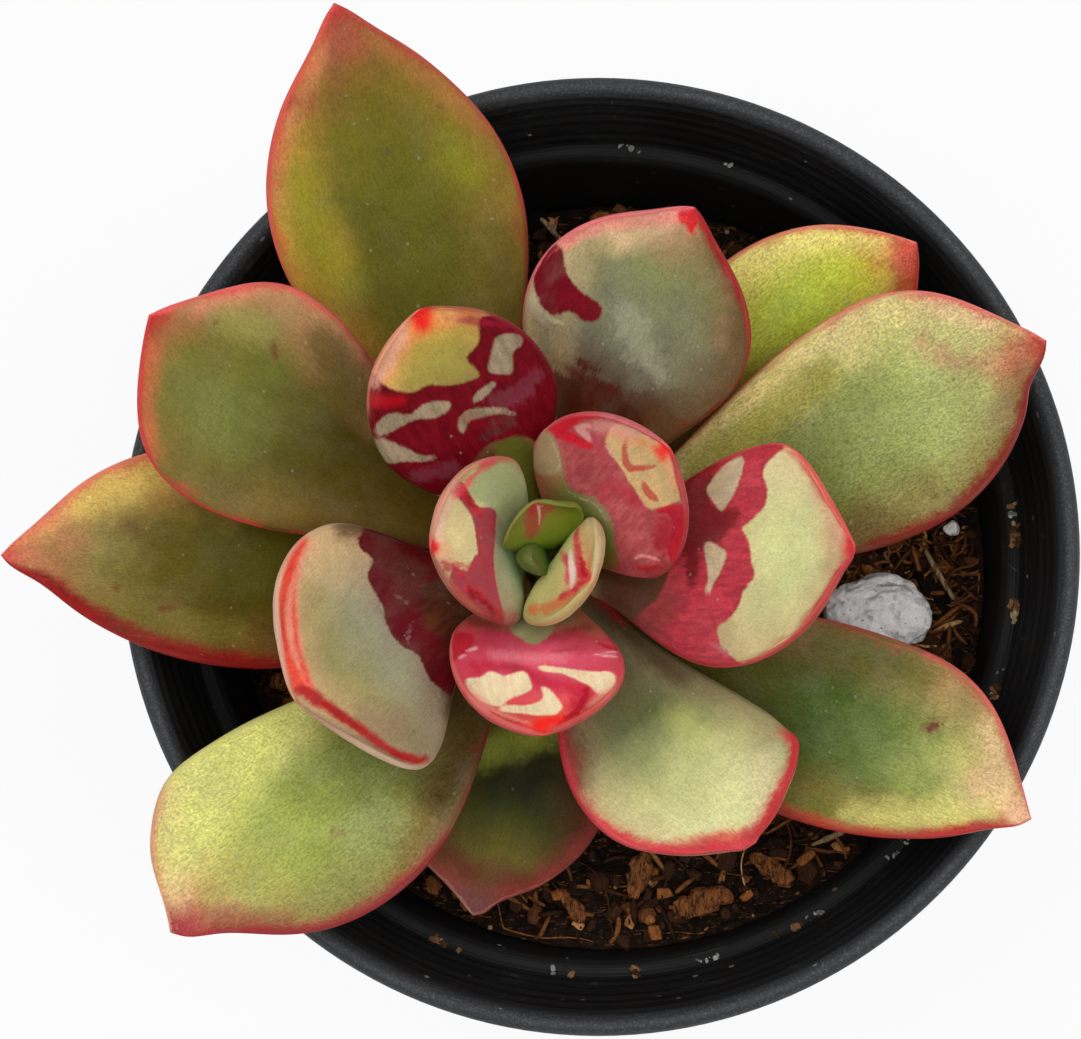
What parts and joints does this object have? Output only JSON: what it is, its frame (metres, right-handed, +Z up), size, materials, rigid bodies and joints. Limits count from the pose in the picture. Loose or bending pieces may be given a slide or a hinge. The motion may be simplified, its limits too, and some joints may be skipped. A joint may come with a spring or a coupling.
{
  "type": "potted echeveria",
  "caption": "Mottled echeveria rosette with crimson-marked inner leaves in a round black nursery pot of bark and perlite mix.",
  "frame": {"origin": "centre of the flat pad under the pot, on the ground and on the pot's axis", "axes": "+Z up along the pot's axis, -Y the front, +X to the right seen from the front"},
  "size_m": [0.11, 0.1054, 0.1095],
  "materials": {
    "pot_plastic": "satin black polypropylene, lightly scuffed",
    "potting_mix": null,
    "stem": null,
    "leaf_green": null,
    "leaf_mottled": null,
    "leaf_bud": null,
    "perlite": "matt white, pitted",
    "bark": "rough brown bark",
    "dry_twig": "dry straw brown"
  },
  "bodies": {
    "root": {"bark_chip_1": "bark", "bark_chip_2": "bark", "bark_chip_3": "bark", "bark_chip_4": "bark", "bark_chip_5": "bark", "bark_chip_6": "bark", "leaf_01_front_low": "leaf_green", "leaf_02_back_right_low": "leaf_green", "leaf_03_left": "leaf_green", "leaf_04_right_front": "leaf_green", "leaf_05_back": "leaf_green", "leaf_06_front_left": "leaf_green", "leaf_07_right_back": "leaf_green", "leaf_08_left_back": "leaf_green", "leaf_09_front_right": "leaf_green", "leaf_10_back_middle": "leaf_mottled", "leaf_11_inner_left": "leaf_mottled", "leaf_12_inner_right": "leaf_mottled", "leaf_13_inner_back": "leaf_mottled", "leaf_14_inner_front": "leaf_mottled", "leaf_15_heart_right_back": "leaf_mottled", "leaf_16_heart_left": "leaf_mottled", "leaf_17_heart_right_front": "leaf_mottled", "leaf_18_heart_back": "leaf_bud", "leaf_19_bud": "leaf_bud", "nursery_pot": "pot_plastic", "perlite_crumb": "perlite", "perlite_lump": "perlite", "soil": "potting_mix", "stem": "stem", "twig_back": "dry_twig", "twig_front": "dry_twig", "twig_right": "dry_twig"}
  },
  "joints": []
}
